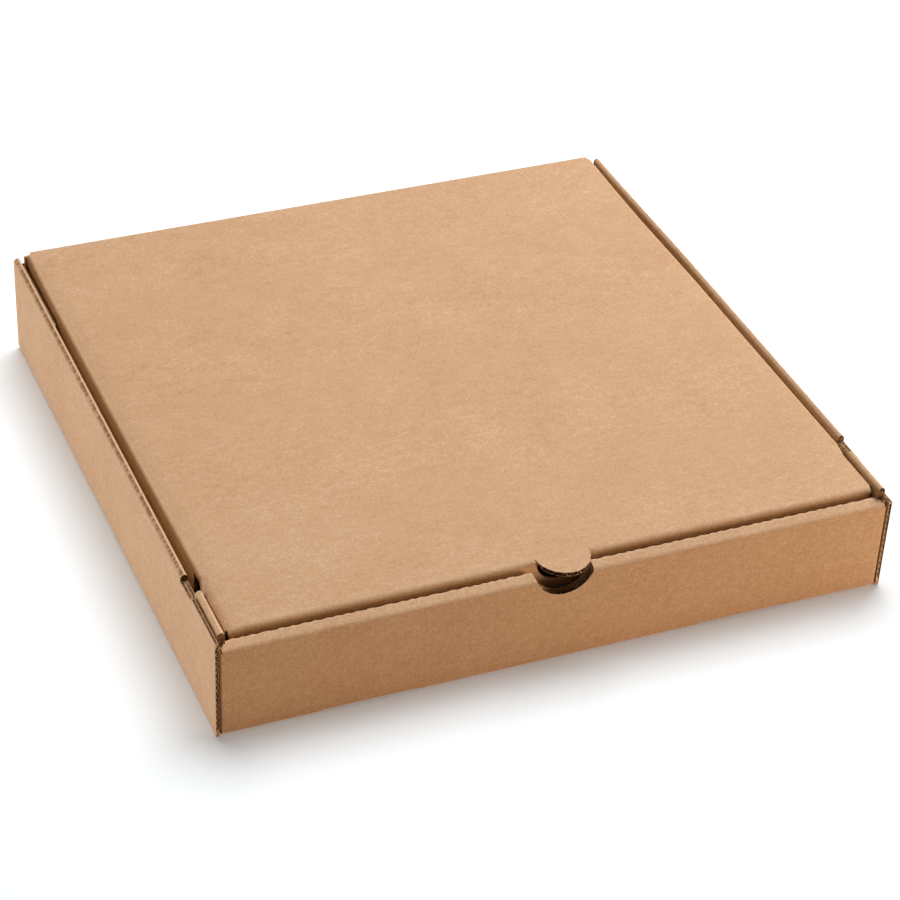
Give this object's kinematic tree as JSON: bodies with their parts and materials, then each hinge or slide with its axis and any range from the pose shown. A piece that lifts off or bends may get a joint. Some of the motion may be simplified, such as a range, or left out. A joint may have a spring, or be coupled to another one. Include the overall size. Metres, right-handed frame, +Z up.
{
  "type": "pizza box",
  "caption": "Shallow square take-away box folded from corrugated kraft board, with rolled double walls and a hinged lid whose thumb tab rests in a finger notch.",
  "frame": {"origin": "middle of the base's underside", "axes": "+Z up, the front wall with the finger notch faces -Y, the lid turns about a crease along X at the back"},
  "size_m": [0.316, 0.3204, 0.053],
  "materials": {
    "tray_board": "uncoated kraft",
    "lid_board": "uncoated kraft"
  },
  "bodies": {
    "tray": {"tray": "tray_board"},
    "lid": {"lid": "lid_board"}
  },
  "joints": [
    {"name": "lid_hinge", "type": "hinge", "parent": "tray", "child": "lid", "pos_m": [0, 0.1593, 0.0522], "axis": [-1, 0, 0], "range_deg": [0, 180]}
  ]
}
